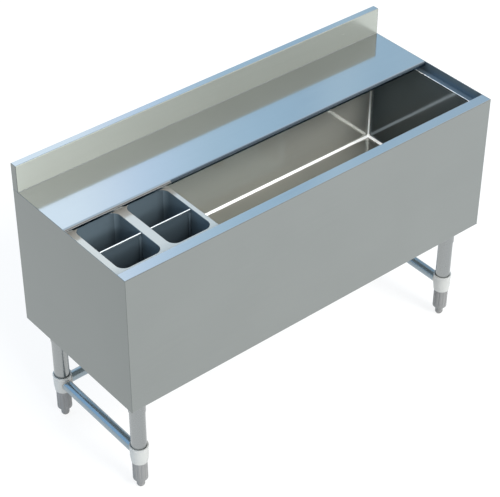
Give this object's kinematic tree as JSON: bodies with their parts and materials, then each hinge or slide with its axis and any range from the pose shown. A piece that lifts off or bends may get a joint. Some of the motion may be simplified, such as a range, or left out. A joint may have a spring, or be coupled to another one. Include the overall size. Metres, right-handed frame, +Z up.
{
  "type": "underbar ice bin",
  "caption": "Stainless underbar ice bin with bottle wells beside the ice chest, a rear deck with a low splash, and tubular legs with adjustable bullet feet",
  "frame": {"origin": "middle of the overall bounding box, on the floor", "axes": "+X along the length to the right as seen from the front, +Y to the back, +Z up"},
  "size_m": [1.219, 0.47, 0.8355],
  "materials": {
    "casing_steel": "brushed",
    "liner_steel": "polished",
    "frame_steel": "galvanised",
    "tube_steel": "satin",
    "collar_metal": "satin",
    "foot_plastic": "satin",
    "insert_metal": "zinc plated",
    "foam": "foamed",
    "drain_brass": "plated",
    "gasket_rubber": "matte"
  },
  "bodies": {
    "cabinet": {"bin_liner": "liner_steel", "bottom_panel": "casing_steel", "brace_collar_front_left": "collar_metal", "brace_collar_front_right": "collar_metal", "brace_collar_rear_left": "collar_metal", "brace_collar_rear_right": "collar_metal", "deck_stiffener": "frame_steel", "divider_guide_left_a": "liner_steel", "divider_guide_left_b": "liner_steel", "divider_guide_right_a": "liner_steel", "divider_guide_right_b": "liner_steel", "drain_body": "drain_brass", "drain_gasket": "gasket_rubber", "drain_locknut": "drain_brass", "foot_insert_front_left": "insert_metal", "foot_insert_front_right": "insert_metal", "foot_insert_rear_left": "insert_metal", "foot_insert_rear_right": "insert_metal", "front_apron": "casing_steel", "insulation_bottom": "foam", "insulation_front": "foam", "insulation_left": "foam", "insulation_rear": "foam", "insulation_right": "foam", "ledge_angle_left": "frame_steel", "ledge_angle_right": "frame_steel", "left_end_panel": "casing_steel", "leg_channel_left": "frame_steel", "leg_channel_right": "frame_steel", "leg_socket_front_left": "tube_steel", "leg_socket_front_right": "tube_steel", "leg_socket_rear_left": "tube_steel", "leg_socket_rear_right": "tube_steel", "leg_tube_front_left": "tube_steel", "leg_tube_front_right": "tube_steel", "leg_tube_rear_left": "tube_steel", "leg_tube_rear_right": "tube_steel", "rear_brace": "tube_steel", "rear_panel": "casing_steel", "right_end_panel": "casing_steel", "set_screw_front_left": "insert_metal", "set_screw_front_right": "insert_metal", "set_screw_rear_left": "insert_metal", "set_screw_rear_right": "insert_metal", "side_brace_left": "tube_steel", "side_brace_right": "tube_steel", "splash_end_left": "casing_steel", "splash_end_right": "casing_steel", "top_deck": "casing_steel", "well_frame": "liner_steel", "well_pan_left": "liner_steel", "well_pan_right": "liner_steel"},
    "bullet_foot_front_left": {"bullet_foot_front_left": "foot_plastic"},
    "bullet_foot_front_right": {"bullet_foot_front_right": "foot_plastic"},
    "bullet_foot_rear_left": {"bullet_foot_rear_left": "foot_plastic"},
    "bullet_foot_rear_right": {"bullet_foot_rear_right": "foot_plastic"},
    "drain_strainer": {"drain_strainer": "liner_steel"},
    "well_divider_left": {"well_divider_left": "liner_steel"},
    "well_divider_right": {"well_divider_right": "liner_steel"}
  },
  "joints": [
    {"name": "foot_screw_front_left", "type": "slide", "parent": "cabinet", "child": "bullet_foot_front_left", "axis": [0, 0, -1], "range_m": [0, 0.025]},
    {"name": "foot_screw_front_right", "type": "slide", "parent": "cabinet", "child": "bullet_foot_front_right", "axis": [0, 0, -1], "range_m": [0, 0.025]},
    {"name": "foot_screw_rear_left", "type": "slide", "parent": "cabinet", "child": "bullet_foot_rear_left", "axis": [0, 0, -1], "range_m": [0, 0.025]},
    {"name": "foot_screw_rear_right", "type": "slide", "parent": "cabinet", "child": "bullet_foot_rear_right", "axis": [0, 0, -1], "range_m": [0, 0.025]},
    {"name": "divider_lift_left", "type": "slide", "parent": "cabinet", "child": "well_divider_left", "axis": [0, 0, 1], "range_m": [0, 0.26]},
    {"name": "divider_lift_right", "type": "slide", "parent": "cabinet", "child": "well_divider_right", "axis": [0, 0, 1], "range_m": [0, 0.26]},
    {"name": "strainer_lift", "type": "slide", "parent": "cabinet", "child": "drain_strainer", "axis": [0, 0, 1], "range_m": [0, 0.06]}
  ]
}
